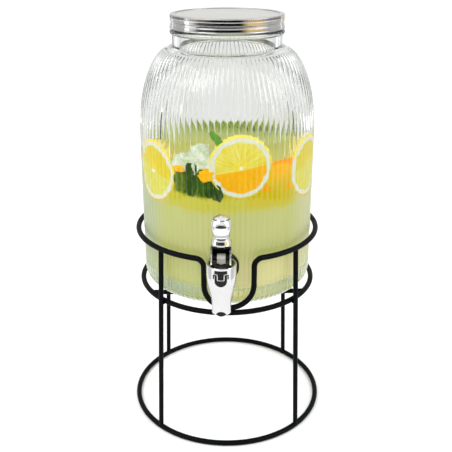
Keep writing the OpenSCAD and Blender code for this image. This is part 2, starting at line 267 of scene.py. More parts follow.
def ice_material():
    """Half-melted ice: clouded, wet, and a little see-through."""
    s = Shader("ice")
    cloud = s.noise(120, 5, 0.6)
    fine = s.noise(420, 4, 0.6)
    base = s.mix(s.span(cloud, 0.35, 0.65), tone(176, 190, 146), tone(216, 222, 202))
    s.surface(Base_Color=base, Roughness=s.span(fine, 0.3, 0.7, 0.12, 0.35),
              Transmission_Weight=0.12, IOR=1.31, Normal=s.bump(fine, 0.5, 0.0015))
    return s.material


MATERIALS = {
    "wire_black": powder_coat(),
    "jar_glass": clear_glass(),
    "tinplate": tinplate(),
    # The band's copy of the tinplate is darkened to 0.62, so that what it reflects looks greyer: painted
    # shade.
    "tinplate_band": tinplate("tinplate_band", (1, 1, 6), 0.06, 0.62),
    "tinplate_disc": satin_disc(),
    "liner": moulded("liner", (0.78, 0.78, 0.75), 0.5),
    "chrome_plastic": chrome(),
    "black_plastic": moulded("black_plastic", (0.01, 0.01, 0.011), 0.22),
    "white_plastic": moulded("white_plastic", (0.62, 0.60, 0.54), 0.35),
    "silicone_black": moulded("silicone_black", (0.012, 0.012, 0.013), 0.5),
    "silicone_white": moulded("silicone_white", (0.72, 0.72, 0.7), 0.5),
    "steel": tinplate("steel", (1, 1, 8), 0.25),
    "drink": drink_material(),
    "fruit": fruit_flesh("fruit", 0.28, 0.002),
    "mint": fruit_flesh("mint", 0.4, 0.0006),
    "ice": ice_material(),
}

for subpart in frame["record"]["subparts"]:
    cad_node = frame["nodes"][subpart["node"]]
    cad_node.data.materials.clear()
    cad_node.data.materials.append(MATERIALS[subpart["material_slot"]])


def paint_inside_shade(node, surface, inside):
    """Gives black plastic to the faces of a chromed part that inside picks, so that its inside stays dark:
    painted shade.
    """
    mesh = frame["nodes"][node].data
    mesh.materials.clear()
    mesh.materials.append(surface)
    mesh.materials.append(MATERIALS["black_plastic"])
    for polygon in mesh.polygons:
        if inside(polygon.center, polygon.normal):
            polygon.material_index = 1


def inside_body(centre, normal):
    """The bore, the valve chamber and the edges of the openings in the tap's body, which face
    the body's axis."""
    reach = 12 * MM
    from_axis = Vector((centre.x, centre.y - TAP_Y, 0))
    return from_axis.length < reach and centre.y < TAP_Y + reach and from_axis.dot(normal) < 0.2 * MM


def inside_fork(centre, normal):
    """The window of the lever's fork: its sides and its back."""
    low, high = PIN_Z - 6.5 * MM, PIN_Z + 13.2 * MM
    return abs(centre.x) < 7.9 * MM and low < centre.z < high and (
        abs(normal.x) > 0.5 or centre.y > TAP_Y - 8.4 * MM)


KNOB_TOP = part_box("lever")[1].z
# Dark lines painted round the lever's knob, down from its top, with half widths: painted shade in the groove
# at 3.2 mm, and painted reflections of a dark band at 17.2 and 18.4 mm.
PAINTED_LINES = [(KNOB_TOP - down * MM, half * MM) for down, half in ((3.2, 0.35), (17.2, 0.3), (18.4, 0.3))]
# The bore and chamber of the tap's body and the window of the lever's fork are made black: painted shade.
paint_inside_shade("tap_body", MATERIALS["chrome_plastic"], inside_body)
paint_inside_shade("lever", chrome("chrome_lever", 0.68, PAINTED_LINES), inside_fork)


# ---- Mesh helpers ----


def grid_faces(rows, columns, wrap=True):
    """Quads between rows of points, each row a ring when wrap is true."""
    last = columns if wrap else columns - 1
    return [
        (i * columns + j, i * columns + (j + 1) % columns,
         (i + 1) * columns + (j + 1) % columns, (i + 1) * columns + j)
        for i in range(rows - 1) for j in range(last)
    ]


def closed_faces(rows, columns):
    """Quads between rings of points, with a cap over the first ring and over the last."""
    first = tuple(range(columns))[::-1]
    last = tuple((rows - 1) * columns + j for j in range(columns))
    return grid_faces(rows, columns) + [first, last]


def piece(name, points, faces, look, body, replaces=(), sharp=35):
    """A mesh piece with its material, smooth but for edges sharper than that many degrees.
    With no body it is left free."""
    mesh = bpy.data.meshes.new(name)
    mesh.from_pydata([tuple(p) for p in points], [], faces)
    builder = bmesh.new()
    builder.from_mesh(mesh)
    bmesh.ops.recalc_face_normals(builder, faces=builder.faces)
    builder.to_mesh(mesh)
    builder.free()
    for polygon in mesh.polygons:
        polygon.use_smooth = True
    mesh.set_sharp_from_angle(angle=math.radians(sharp))
    mesh.materials.append(MATERIALS[look])
    made = bpy.data.objects.new(name, mesh)
    bpy.context.scene.collection.objects.link(made)
    if body:
        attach(made, body)
    if replaces:
        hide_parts(*replaces)
    return made


def colour_points(mesh, name, colours):
    """Gives each point of a mesh its colour."""
    layer = mesh.attributes.new(name, "FLOAT_COLOR", "POINT")
    layer.data.foreach_set("color", np.array(colours, np.float32).ravel())


def smooth(t):
    """An ease from 0 to 1 as t goes from 0 to 1."""
    t = min(1.0, max(0.0, t))
    return t * t * (3 - 2 * t)


def bump_at(value, low, high, ease):
    """1 between low and high, easing to 0 outside them."""
    return smooth((value - low) / ease + 1) * smooth((high - value) / ease + 1)


def arc(centre, radius, start, end, steps):
    """Points on an arc, angles in degrees."""
    angles = [math.radians(start + (end - start) * i / steps) for i in range(steps + 1)]
    return [(centre[0] + radius * math.cos(a), centre[1] + radius * math.sin(a)) for a in angles]


def spaced(low, high, steps):
    """Even places from low to high."""
    return [low + (high - low) * i / steps for i in range(steps + 1)]


def circle(count):
    """Even angles round a circle, in radians."""
    return [2 * math.pi * i / count for i in range(count)]


def lathe(rows, turns, out_at=None):
    """Points of (radius, height) rows turned about the jar's axis. out_at says how much
    further out a row is at a turn."""
    points = []
    for i, (r, z) in enumerate(rows):
        for turn in turns:
            out = r + (out_at(i, turn) if out_at else 0.0)
            points.append((out * math.sin(turn), -out * math.cos(turn), z))
    return points


def ball(rings, sides, pole):
    """Directions over a ball, ring by ring from the bottom, but for a share of it at each pole."""
    ways = []
    for share in spaced(pole, 1 - pole, rings):
        lift = math.pi * share - math.pi / 2
        for theta in circle(sides):
            ways.append(Vector((math.cos(lift) * math.cos(theta), math.cos(lift) * math.sin(theta),
                                math.sin(lift))))
    return ways


# ---- Jar ----

REEDS = 96
REED_DEPTH = 0.95 * MM
# Places across one reed, from valley to valley, closer together where it is steep.
REED_ACROSS = (-1, -0.95, -0.83, -0.5, 0, 0.5, 0.83, 0.95)
VALLEY_TURN = math.radians(2.4)
# The reeds run from where the foot's corner passes the first radius up to where the dome
# comes in to the second, and end in tips of this length.
REED_FOOT_R = 80 * MM
REED_TOP_R = 62 * MM
REED_TIP = 3 * MM
CORNER_R = 14 * MM
SHOULDER_Z = JAR_Z + 158 * MM
NECK_Z = JAR_Z + 242 * MM
NECK_R = 53.3 * MM
BEAD_Z = JAR_Z + 255.8 * MM
BEAD_R = 2.4 * MM
MOUTH_R = 47.5 * MM
LIP_R = 1.4 * MM
FLOOR_Z = JAR_Z + 18 * MM
FLOOR_R = 10 * MM
FINISH_R = 52 * MM
PAD_R = 16.5 * MM
HOLE_R = 8.3 * MM


def jar_outside():
    """Side of the jar from the middle of its underside up to the lip."""
    recess = [(0.5 * MM, JAR_Z + 3 * MM), (30 * MM, JAR_Z + 3 * MM), (50 * MM, JAR_Z + 3 * MM),
              (53 * MM, JAR_Z + 2.2 * MM), (56 * MM, JAR_Z + 0.6 * MM), (59 * MM, JAR_Z)]
    corner = arc((JAR_R - CORNER_R, JAR_Z + CORNER_R), CORNER_R, -90, 0, 12)
    pad = spaced(TAP_Z - PAD_R - 1.5 * MM, TAP_Z + PAD_R + 1.5 * MM, 24)
    below = spaced(JAR_Z + 18 * MM, pad[0] - 4 * MM, 2)
    above = spaced(pad[-1] + 6 * MM, SHOULDER_Z - 2 * MM, 8)
    wall = [(JAR_R, z) for z in below + pad + above]
    dome = [(NECK_R + (JAR_R - NECK_R) * math.cos(math.radians(a)),
             SHOULDER_Z + (NECK_Z - SHOULDER_Z) * math.sin(math.radians(a)))
            for a in spaced(0, 60, 16) + spaced(62, 84, 22) + [87, 90]]
    neck = [(NECK_R, z) for z in spaced(NECK_Z + 4 * MM, BEAD_Z - BEAD_R - 0.3 * MM, 2)]
    bead = arc((NECK_R, BEAD_Z), BEAD_R, -90, 90, 10)
    finish = [(FINISH_R, z) for z in spaced(BEAD_Z + BEAD_R + 0.3 * MM, LIP_Z - 1.6 * MM, 16)]
    lip = arc((FINISH_R - LIP_R, LIP_Z - LIP_R), LIP_R, 0, 90, 5)
    return recess + corner + wall + dome + neck + bead + finish + lip


def jar_inside():
    """Inner side of the jar from the lip down to the middle of its floor."""
    lip = arc((MOUTH_R + LIP_R, LIP_Z - LIP_R), LIP_R, 90, 180, 5)
    dome = [(MOUTH_R + (INNER_R - MOUTH_R) * math.cos(math.radians(a)),
             SHOULDER_Z + (NECK_Z - 3 * MM - SHOULDER_Z) * math.sin(math.radians(a)))
            for a in spaced(90, 0, 24)]
    wall = [(INNER_R, z) for z in spaced(SHOULDER_Z - 20 * MM, FLOOR_Z + 12 * MM, 6)]
    corner = arc((INNER_R - FLOOR_R, FLOOR_Z + FLOOR_R), FLOOR_R, 0, -90, 8)
    return lip + dome + wall + corner + [(40 * MM, FLOOR_Z), (0.5 * MM, FLOOR_Z)]


def thread_height(angle, z):
    """How far the screw thread stands out of the finish: one and a quarter right-hand turns."""
    pitch, length, run_out = 5.08 * MM, 1.25, 0.06
    half, tall = 1.5 * MM, 1.1 * MM
    start = LIP_Z - 5 * MM
    height = 0.0
    for turn in (0, 1):
        t = angle / (2 * math.pi) + turn
        if t <= length:
            across = (z - (start - pitch * t)) / half
            ends = smooth(t / run_out) * smooth((length - t) / run_out)
            height = max(height, tall * ends * max(0.0, 1 - across * across))
    return height


def make_jar():
    """The jar in reeded glass: convex reeds with sharp valleys and finger-tip ends, and a
    smooth pad round the tap's hole."""
    outside, inside = jar_outside(), jar_inside()
    reeds = [(reed, u) for reed in range(REEDS) for u in REED_ACROSS]
    turns = [(reed + 0.5 + u / 2) * 2 * math.pi / REEDS + VALLEY_TURN for reed, u in reeds]
    lengths = [0.0]
    for a, b in zip(outside, outside[1:]):
        lengths.append(lengths[-1] + math.dist(a, b))
    first = next(s for s, p in zip(lengths, outside) if p[0] > REED_FOOT_R)
    last = next(s for s, p in zip(lengths, outside) if p[1] > SHOULDER_Z and p[0] < REED_TOP_R)
    points = []
    for i, (r, z) in enumerate(outside):
        before, after = outside[max(0, i - 1)], outside[min(len(outside) - 1, i + 1)]
        along = Vector((after[0] - before[0], after[1] - before[1])).normalized()
        depth = REED_DEPTH * r / JAR_R
        s = lengths[i]
        beyond = max(first + REED_TIP - s, s - (last - REED_TIP), 0.0) / REED_TIP
        sunk = smooth((s - first + 4 * MM) / (4 * MM)) * smooth((last + 5 * MM - s) / (5 * MM))
        for angle, (_, across) in zip(turns, reeds):
            crest = math.sqrt(max(0.0, 1 - across * across - beyond * beyond))
            if abs(z - TAP_Z) < PAD_R + 3 * MM:
                turn = (angle + math.pi) % (2 * math.pi) - math.pi
                reach = math.hypot(turn * JAR_R, z - TAP_Z)
                crest += (1 - crest) * smooth((PAD_R + 0.8 * MM - reach) / (1.6 * MM))
            drop = depth * sunk * (1 - crest)
            out = thread_height(angle % (2 * math.pi), z) if z > BEAD_Z + BEAD_R else 0.0
            radius = r - along.y * drop + out
            height = z + along.x * drop
            points.append((radius * math.sin(angle), -radius * math.cos(angle), height))
    points += lathe(inside, turns)
    faces = closed_faces(len(outside) + len(inside), len(turns))
    jar = piece("glass_jar", points, faces, "jar_glass", "jar", ["jar"], 25)
    drill(jar, HOLE_R, TAP_Z, -JAR_R - 2 * MM, -JAR_R / 2)


def drill(target, radius, z, y0, y1):
    """Cuts a round hole along Y through the target's mesh."""
    cutter_mesh = bpy.data.meshes.new("cutter")
    builder = bmesh.new()
    bmesh.ops.create_cone(builder, cap_ends=True, segments=48, radius1=radius, radius2=radius,
                          depth=abs(y1 - y0))
    builder.to_mesh(cutter_mesh)
    builder.free()
    cutter = bpy.data.objects.new("cutter", cutter_mesh)
    bpy.context.scene.collection.objects.link(cutter)
    cutter.matrix_world = Matrix.Translation((0, (y0 + y1) / 2, z)) @ Matrix.Rotation(math.pi / 2, 4, "X")
    cut = target.modifiers.new("hole", "BOOLEAN")
    cut.operation = "DIFFERENCE"
    cut.solver = "MANIFOLD"
    cut.object = cutter
    bpy.context.view_layer.update()
    evaluated = target.evaluated_get(bpy.context.evaluated_depsgraph_get())
    result = bpy.data.meshes.new_from_object(evaluated)
    target.modifiers.clear()
    target.data = result
    bpy.data.objects.remove(cutter)
    bpy.data.meshes.remove(cutter_mesh)


make_jar()


# ---- Lid ----

TEETH = 163
TOOTH_DEPTH = 0.5 * MM
BAND_R = 55 * MM
WINDOW_R = 50 * MM
SHEET = 0.6 * MM


def rounded(corners, steps=4, share=0.3):
    """A line through the corners, each turned into a short curve."""
    line = [corners[0]]
    for before, here, after in zip(corners, corners[1:], corners[2:]):
        a = Vector(here).lerp(Vector(before), share)
        b = Vector(here).lerp(Vector(after), share)
        for i in range(steps + 1):
            t = i / steps
            line.append(tuple(a.lerp(Vector(here), t).lerp(Vector(here).lerp(b, t), t)))
    line.append(corners[-1])
    return line


def make_band():
    """The screw band: a knurled corner, a groove round the skirt, and a rolled edge."""
    # The skirt in mm from the band's radius and from the lid's top, out and down. Points that
    # stand close together keep the bends short, so that the flats stay flat.
    down = [(-1.2, 0), (-0.5, 0.08), (-0.04, 0.6), (0, 1.1), (0, 3), (0, 3.6), (0, 5.8), (0, 6.3),
            (-0.55, 6.8), (-0.6, 7.2), (-0.6, 8.3), (-0.55, 8.7), (0, 9.2), (0, 9.7), (0, 11.3), (0, 11.7)]
    skirt = [(BAND_R + out * MM, LID_Z - drop * MM) for out, drop in down]
    outside = [(WINDOW_R, LID_Z - SHEET), (WINDOW_R, LID_Z - 0.15 * MM), (WINDOW_R + 0.2 * MM, LID_Z)]
    outside += rounded([(WINDOW_R + 2 * MM, LID_Z)] + skirt)
    outside += arc((BAND_R - 0.1 * MM, LID_Z - 12.4 * MM), 0.8 * MM, 75, -200, 14)
    inside = [(r - SHEET, z) for r, z in skirt[:1:-1]]
    inside += [(BAND_R - 1.2 * MM, LID_Z - 0.9 * MM), (WINDOW_R + 1 * MM, LID_Z - SHEET)]
    rows = outside + inside
    phases = (0, 0.22, 0.4, 0.6, 0.78)
    turns = [2 * math.pi * (tooth + phase) / TEETH for tooth in range(TEETH) for phase in phases]
    top, foot, ease = 0.3, 3.6, 0.5

    def teeth(i, turn):
        """The notches between the teeth, which are on the corner's outside only."""
        depth = (LID_Z - rows[i][1]) / MM
        if i >= len(outside) or not top < depth < foot or rows[i][0] < BAND_R - 1.2 * MM:
            return 0.0
        ends = smooth((depth - top) / ease) * smooth((foot - depth) / ease)
        phase = (turn * TEETH / (2 * math.pi)) % 1
        return -TOOTH_DEPTH * ends * smooth((0.3 - abs(phase - 0.5)) / 0.2)

    columns = len(turns)
    faces = grid_faces(len(rows), columns)
    last = (len(rows) - 1) * columns
    faces += [(last + j, last + (j + 1) % columns, (j + 1) % columns, j) for j in range(columns)]
    piece("knurled_band", lathe(rows, turns, teeth), faces, "tinplate_band", "band", ["screw_band"], 50)


def make_disc():
    """The lid's disc, with a shallow step pressed round it."""
    low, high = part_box("lid_disc")
    edge, top = high.x, high.z
    rows = [(0.5 * MM, top), (34 * MM, top), (40 * MM, top - 0.02 * MM), (44.2 * MM, top - 0.05 * MM),
            (44.8 * MM, top - 0.25 * MM), (46.4 * MM, top - 0.25 * MM), (47 * MM, top - 0.05 * MM),
            (edge - 0.3 * MM, top - 0.05 * MM), (edge, top - 0.2 * MM), (edge, low.z + 0.1 * MM),
            (edge - 0.2 * MM, low.z), (30 * MM, low.z), (0.5 * MM, low.z)]
    turns = circle(240)
    faces = closed_faces(len(rows), len(turns))
    piece("pressed_disc", lathe(rows, turns), faces, "tinplate_disc", "lid", ["lid_disc"], 40)


make_band()
make_disc()


# ---- Drink ----


def make_drink():
    """The lemonade, filling the jar up to its level, with a slight meniscus at the wall."""
    radius = INNER_R + WET
    low = FLOOR_Z - WET
    side = [(0.5 * MM, low), (40 * MM, low)]
    side += arc((INNER_R - FLOOR_R, FLOOR_Z + FLOOR_R), FLOOR_R + WET, -90, 0, 8)
    side += [(radius, z) for z in spaced(FLOOR_Z + 12 * MM, DRINK_Z - 2 * MM, 60)]
    side += [(radius, DRINK_Z + 1.2 * MM), (radius - 0.6 * MM, DRINK_Z + 0.9 * MM)]
    side += [(radius - 1.5 * MM, DRINK_Z + 0.35 * MM), (radius - 3.5 * MM, DRINK_Z), (60 * MM, DRINK_Z),
             (30 * MM, DRINK_Z), (0.5 * MM, DRINK_Z)]
    turns = circle(240)
    drink = piece("lemonade", lathe(side, turns), closed_faces(len(side), len(turns)), "drink", "jar")
    paint(drink, "glow", drink_glow)


def paint(made, name, colour_at):
    """Gives every point of a piece the colour that colour_at finds for its place."""
    colour_points(made.data, name, [colour_at(vertex.co) for vertex in made.data.vertices])


def turn_of(place):
    """Degrees round the jar from the tap, towards +X."""
    return math.degrees(math.atan2(place.x, -place.y))


def drink_glow(place):
    """Colour that the fruit lends to the drink, with painted light and painted reflection, and its strength.
    """
    turn, z = turn_of(place), place.z / MM
    if place.z > DRINK_Z - 1 * MM and math.hypot(place.x, place.y) < INNER_R - 1 * MM:
        back = smooth((place.y / MM + 60) / 120)
        low, high = Vector(tone(176, 172, 20)), Vector(tone(134, 150, 6))
        shade = low.lerp(high, back)
        return (*shade[:3], 0.95)
    wobble = 4 * noise.noise(Vector((turn * 0.11, z * 0.02, 3)))
    # Each glow's strength here, and its colour. Later ones lie over earlier ones.
    glows = [
        # Yellow behind the front slice, gold and orange round the wedge, green by the mint.
        (bump_at(turn, -34, 46, 14) * bump_at(z + wobble, 259, 300, 10) * 0.84, tone(182, 176, 10)),
        (bump_at(turn, 17, 49, 4) * bump_at(z + wobble, 262, 300, 7) * 0.9, tone(186, 168, 0)),
        (bump_at(turn, 24, 50, 3) * bump_at(z + wobble, 277, 300, 7), tone(236, 146, 0)),
        (bump_at(turn, -32, -1, 3) * bump_at(z + wobble, 272, 300, 4) * 0.9, tone(70, 92, 0)),
        # Cream low at the right: painted light over the shade that falls there. Then the greyer left and
        # right sides: painted reflection of the glass.
        (bump_at(turn, 14, 70, 12) * bump_at(z, 150, 194, 18) * 0.7, tone(212, 204, 144)),
        (smooth((-turn - 40) / 24) * smooth((170 + turn) / 60) * 0.75, tone(162, 174, 146)),
        (smooth((turn - 44) / 24) * smooth((170 - turn) / 60) * 0.6, tone(184, 186, 146)),
    ]
    colour, strength = Vector((0, 0, 0)), 0.0
    for weight, shade in glows:
        weight = min(1.0, weight)
        total = weight + strength * (1 - weight)
        if total > 0:
            colour = (Vector(shade[:3]) * weight + colour * strength * (1 - weight)) / total
        strength = total
    return (*colour, strength)


make_drink()


# ---- Fruit, mint and ice ----

SEGMENTS = 10
SLICE_THICK = 6 * MM
# Shares of a slice's radius: the end of its flesh, and the start of its rind.
FLESH_END = 0.8
RIND_START = 0.925


def on_wall(turn, across, height, depth):
    """A place at the jar's inner wall: across and height are along the wall from the
    middle at the given turn, and depth is inwards."""
    angle = math.radians(turn) + across / INNER_R
    r = INNER_R + 3 * WET - depth
    return Vector((r * math.sin(angle), -r * math.cos(angle), height))


def blend_tones(a, b, t):
    """The colour between a and b at t, which is kept between 0 and 1."""
    t = min(1.0, max(0.0, t))
    return [x + (y - x) * t for x, y in zip(a, b)]


def slice_colour(rho, theta, high, seed, tones):
    """Colour of a lemon slice at a share rho of its radius, with high the height above its
    waterline. tones are its flesh and pale parts above the water and below it, and its rind
    above and below."""
    upper, lower, rind, rind_low = tones
    part = (theta / (2 * math.pi) * SEGMENTS + seed) % 1
    streak = noise.noise(Vector((math.cos(theta) * 15, math.sin(theta) * 15, rho * 1.6 + seed)))
    streak += 0.5 * noise.noise(Vector((math.cos(theta) * 34, math.sin(theta) * 34, rho * 3 + seed)))
    dry = smooth(high / (1.2 * MM) + 0.5)
    flesh = blend_tones(lower[0], upper[0], dry)
    pale = blend_tones(lower[1], upper[1], dry)
    colour = blend_tones(flesh, pale, 0.45 + 0.9 * streak)
    membrane = smooth(1 - min(part, 1 - part) / 0.045) * smooth((rho - 0.1) / 0.2)
    colour = blend_tones(colour, pale, 0.55 * membrane)
    colour = blend_tones(colour, tone(250, 226, 60), dry * smooth((0.42 - rho) / 0.4) * 0.5)
    colour = blend_tones(tone(244, 240, 206), colour, (rho - 0.045) / 0.03)
    edge = FLESH_END + 0.012 * math.sin(SEGMENTS * theta + seed) + 0.02 * streak
    colour = blend_tones(colour, tone(224, 230, 208), (rho - edge) / 0.02)
    side = smooth(0.5 + high / (24 * MM))
    return blend_tones(colour, blend_tones(rind_low, rind, side), (rho - RIND_START) / 0.02)


def make_slice(name, turn, z, radius, tilt, line, tones):
    """A lemon slice bent against the glass. line is the waterline's height on it, and tilt its
    slope."""
    shares = [0.02] + spaced(0.045, 0.78, 22) + spaced(0.79, 0.96, 12) + [0.985, 1.0]
    rows = [(share, 0.0 if share < 0.97 else 0.5 * MM * (share - 0.97) / 0.03) for share in shares]
    rows += [(1.01, 1.4 * MM), (1.01, SLICE_THICK - 1.4 * MM), (1.0, SLICE_THICK - 0.4 * MM),
             (0.96, SLICE_THICK), (0.5, SLICE_THICK), (0.02, SLICE_THICK)]
    sides = 180
    points, colours = [], []
    seed = turn * 0.37
    for share, depth in rows:
        for theta in circle(sides):
            lumpy = 1 + 0.012 * noise.noise(Vector((math.cos(theta) * 2, math.sin(theta) * 2, seed)))
            across = radius * share * lumpy * math.cos(theta)
            up = radius * share * lumpy * math.sin(theta)
            part = (theta / (2 * math.pi) * SEGMENTS + seed) % 1
            valley = smooth(1 - min(part, 1 - part) / 0.06) * bump_at(share, 0.1, 0.78, 0.05)
            inward = depth + 0.12 * MM + (0.22 * MM * valley if depth == 0 else 0.0)
            points.append(on_wall(turn, across, z + up, inward))
            high = up - line - tilt * across
            colours.append(slice_colour(min(share, 1.0), theta, high, seed, tones))
    made = piece(name, points, closed_faces(len(rows), sides), "fruit", "jar", sharp=60)
    colour_points(made.data, "paint", colours)


def make_leaf(name, spots, width, colour, vein, seed, curl=1.0, thick=0.5 * MM):
    """A serrated mint leaf along a line of places, each with its direction across and out."""
    steps, half = 28, 5
    rows = []
    for i in range(steps + 1):
        t = i / steps
        centre, side, out = spots(t)
        swell = math.sin(math.pi * min(1, t * 0.94 + 0.03)) ** 0.6 * (1 - 0.3 * t)
        notch = 1 + 0.07 * math.sin(t * 62 + seed)
        row = []
        for j in range(-half, half + 1):
            u = j / half
            fold = 0.16 * width * (u * u - 0.3) + 0.05 * width * math.sin(t * 30 + abs(u) * 5 + seed) * abs(u)
            row.append(centre + side * (u * width / 2 * swell * notch) + out * (fold * swell * curl))
        rows.append(row)
    points, faces, colours = [], [], []
    columns = 2 * half + 1
    for level in (0.0, -thick):
        for i, row in enumerate(rows):
            out = spots(i / steps)[2]
            for j, point in enumerate(row):
                points.append(point + out * level)
                u = abs(j - half) / half
                mottle = 0.5 + noise.noise(point * 260 + Vector((seed, 0, 0)))
                rib = max(smooth(1 - u / 0.12), 0.5 * smooth(math.sin(i * 1.5 - u * 4) * 4 - 3))
                green = [c * (0.7 + 0.6 * mottle) for c in colour[:3]] + [1]
                colours.append(blend_tones(green, vein, 0.35 * rib))
    count = len(rows) * columns
    for a, b, c, d in grid_faces(len(rows), columns, False):
        faces += [(a, b, c, d), (count + a, count + d, count + c, count + b)]
    rim = list(range(columns)) + [i * columns + columns - 1 for i in range(1, len(rows))]
    rim += [(len(rows) - 1) * columns + j for j in range(columns - 2, -1, -1)]
    rim += [i * columns for i in range(len(rows) - 2, 0, -1)]
    for a, b in zip(rim, rim[1:] + rim[:1]):
        faces.append((b, a, count + a, count + b))
    made = piece(name, points, faces, "mint", "jar", sharp=60)
    colour_points(made.data, "paint", colours)


def hanging(turn, lean, top, length, depth):
    """Line of a leaf that hangs against the glass from height top, leaning to one side."""
    def at(t):
        place = on_wall(turn, lean * t * length, top - length * t, depth)
        out = Vector((place.x, place.y, 0)).normalized()
        return place, Vector((-out.y, out.x, 0)), out
    return at


def floating(x, y, heading, length, rise):
    """Line of a leaf that lies on the drink, curling up towards its tip."""
    ahead = Vector((math.cos(math.radians(heading)), math.sin(math.radians(heading)), 0))

    def at(t):
        place = Vector((x, y, DRINK_Z + 1 * MM)) + ahead * (length * (t - 0.5))
        place.z += rise * t * t
        return place, Vector((-ahead.y, ahead.x, 0)), Vector((0, 0, 1))
    return at


def make_blob(name, centre, size, look, colour_at, seed, rough, out):
    """A lump of fruit or ice: an ellipsoid broken up with noise, pressed flat on the glass
    where it would pass the distance out beyond the drink."""
    rings, sides = 28, 48
    shift = Vector((seed, 0, 0))
    limit = INNER_R + WET + out
    points = []
    for way in ball(rings, sides, 0.012):
        grow = 1 + rough * noise.noise(way * 1.7 + shift)
        grow += rough * 0.4 * noise.noise(way * 5 + shift)
        place = Vector(centre) + Vector(a * b for a, b in zip(way * grow, size))
        across = math.hypot(place.x, place.y)
        if across > limit:
            place.x, place.y = place.x * limit / across, place.y * limit / across
        points.append(place)
    made = piece(name, points, closed_faces(rings + 1, sides), look, "jar", sharp=60)
    if colour_at:
        paint(made, "paint", colour_at)


def orange(place):
    """Orange flesh, mottled."""
    return blend_tones(tone(252, 168, 0), tone(255, 206, 10), 0.5 + 0.5 * noise.noise(place * 420))


def wedge_colour(place):
    """Orange, yellower towards the bottom."""
    return blend_tones(tone(214, 190, 0), orange(place), smooth((place.z / MM - 272) / 22))


def make_slices():
    """Three lemon slices on the glass, each partly above the water."""
    pale = (tone(230, 211, 34), tone(242, 231, 122))
    gold = (tone(246, 176, 0), tone(252, 194, 8))
    amber = (tone(226, 200, 0), tone(234, 214, 24))
    sour = (tone(220, 211, 50), tone(230, 224, 112))
    late = (tone(218, 200, 34), tone(232, 214, 64))
    make_slice("lemon_slice_front", 11, 297.8 * MM, 30.35 * MM, 0.17, -2.2 * MM,
               (pale, gold, tone(250, 232, 90), tone(222, 196, 20)))
    make_slice("lemon_slice_left", -53.5, 284.5 * MM, 30.2 * MM, -0.3, 2 * MM,
               (amber, sour, tone(250, 226, 90), tone(238, 196, 30)))
    make_slice("lemon_slice_right", 68, 286 * MM, 31 * MM, 0.2, 4 * MM,
               (late, sour, tone(250, 226, 80), tone(238, 196, 30)))


def make_citrus():
    """A wedge to the right of the front slice, and two bits of peel to its left."""
    make_blob("lemon_wedge", on_wall(37.5, 0, 285 * MM, 2 * MM), (24 * MM, 12 * MM, 13.6 * MM),
              "fruit", wedge_colour, 1, 0.03, 0.1 * MM)
    make_blob("peel_left", on_wall(-29.5, 0, 294 * MM, 2 * MM), (6.4 * MM, 6 * MM, 3.4 * MM),
              "fruit", orange, 2, 0.3, 0.7 * MM)
    make_blob("peel_middle", on_wall(-11, 0, 290.5 * MM, 2.5 * MM), (8.4 * MM, 6 * MM, 6.8 * MM),
              "fruit", orange, 3, 0.3, 0.7 * MM)


def make_mint():
    """A bunch of leaves on the glass, a sprig above the water, and leaves afloat behind."""
    dark, rib = tone(54, 92, 0), tone(94, 130, 10)
    olive, deep = tone(92, 116, 0), tone(34, 68, 0)
    fresh, light = tone(84, 150, 0), tone(150, 190, 30)
    # Turn round the jar, lean, then top, length and width in mm, and colour.
    bunch = [(-31, 0.05, 291, 19, 10, olive), (-28, 0.05, 296, 25, 11, olive), (-25, 0.0, 299, 28, 11, dark),
             (-22, 0.0, 301, 32, 11, deep), (-19, -0.05, 301, 33, 11, dark), (-16.5, 0.0, 300, 32, 10, olive),
             (-14, 0.05, 296, 27, 11, dark), (-10.5, 0.1, 289, 21, 12, deep), (-7, 0.15, 285, 19, 12, dark),
             (-4.5, 0.2, 282, 17, 11, deep)]
    for number, (turn, lean, top, length, width, colour) in enumerate(bunch):
        depth = 0.1 * MM + 0.15 * MM * (number % 3)
        line = hanging(turn, lean, top * MM, length * MM, depth)
        make_leaf(f"mint_leaf_{number + 1}", line, width * MM, colour, rib, number * 1.7, 0.12)
    sprig = [(-7, 0.6, 332, 15, 10), (-3, 0.2, 327, 12, 8)]
    for number, (turn, lean, top, length, width) in enumerate(sprig):
        line = hanging(turn, lean, top * MM, length * MM, 0.5 * MM)
        make_leaf(f"mint_sprig_{number + 1}", line, width * MM, fresh, light, 5 + number, 0.2)
    random.seed(7)
    spots = [(-24, 52), (-12, 66), (-1, 76), (7, 54), (25, 66), (38, 46), (52, 53), (66, 43), (74, 24)]
    for number, (x, y) in enumerate(spots):
        heading, length, rise = random.uniform(0, 360), random.uniform(12, 19), random.uniform(2, 6)
        line = floating(x * MM, y * MM, heading, length * MM, rise * MM)
        width, colour = random.uniform(7, 11) * MM, random.choice((dark, fresh))
        make_leaf(f"mint_float_{number + 1}", line, width, colour, light, number * 2.3)


def make_ice():
    """Two lumps of ice on the glass, above the bunch of mint."""
    make_blob("ice_cube_1", on_wall(-15.5, 0, 303 * MM, 5 * MM), (13 * MM, 12 * MM, 16 * MM),
              "ice", None, 11, 0.05, 0.25 * MM)
    make_blob("ice_cube_2", on_wall(-27, 0, 298 * MM, 5 * MM), (12 * MM, 12 * MM, 11 * MM),
              "ice", None, 14, 0.05, 0.2 * MM)


make_slices()
make_citrus()
make_mint()
make_ice()


# ---- Tap details ----


def key_place(x, down, out):
    """A place on the front of the tap's body, at x and a distance below its rim."""
    radius = BODY_R + out
    return Vector((x, TAP_Y - math.sqrt(radius * radius - x * x), RIM_Z - down))


